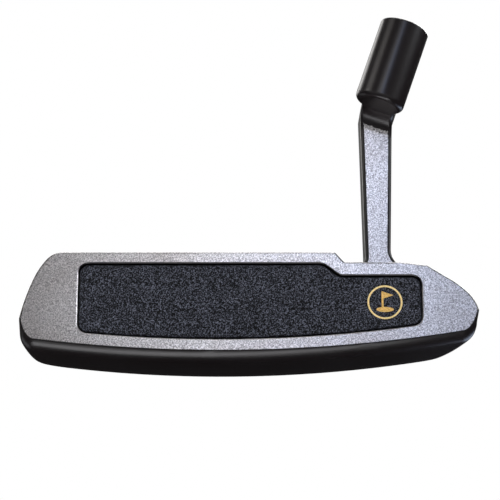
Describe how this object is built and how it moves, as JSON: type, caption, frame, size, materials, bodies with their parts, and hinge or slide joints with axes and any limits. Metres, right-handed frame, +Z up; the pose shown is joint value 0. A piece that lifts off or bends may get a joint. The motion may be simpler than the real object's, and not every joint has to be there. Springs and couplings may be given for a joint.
{
  "type": "blade putter head",
  "caption": "Heel-shafted blade putter head with a glued-in textured face insert, plumber's neck and blind shaft socket.",
  "frame": {"origin": "middle of the underside of the head's box, on the ground under the sole", "axes": "+X from toe to heel, -Y towards the ball (the struck face looks that way), +Z up"},
  "size_m": [0.1158, 0.0404, 0.0882],
  "materials": {
    "black_steel": "satin black on steel, with the face and the neck's front left as bead-blasted silver",
    "braze": "filler metal, hidden in the joint",
    "insert": "moulded with a fine wrinkle texture",
    "adhesive": "cured epoxy film, hidden behind the insert",
    "gold_fill": "pale gold inlay",
    "white_paint": "paint filled into the sight line"
  },
  "bodies": {
    "root": {"head_body": "black_steel", "plumber_neck": "black_steel", "neck_braze": "braze", "face_insert": "insert", "insert_adhesive": "adhesive", "emblem_ring": "gold_fill", "emblem_flag": "gold_fill", "sight_line_fill": "white_paint"}
  },
  "joints": []
}
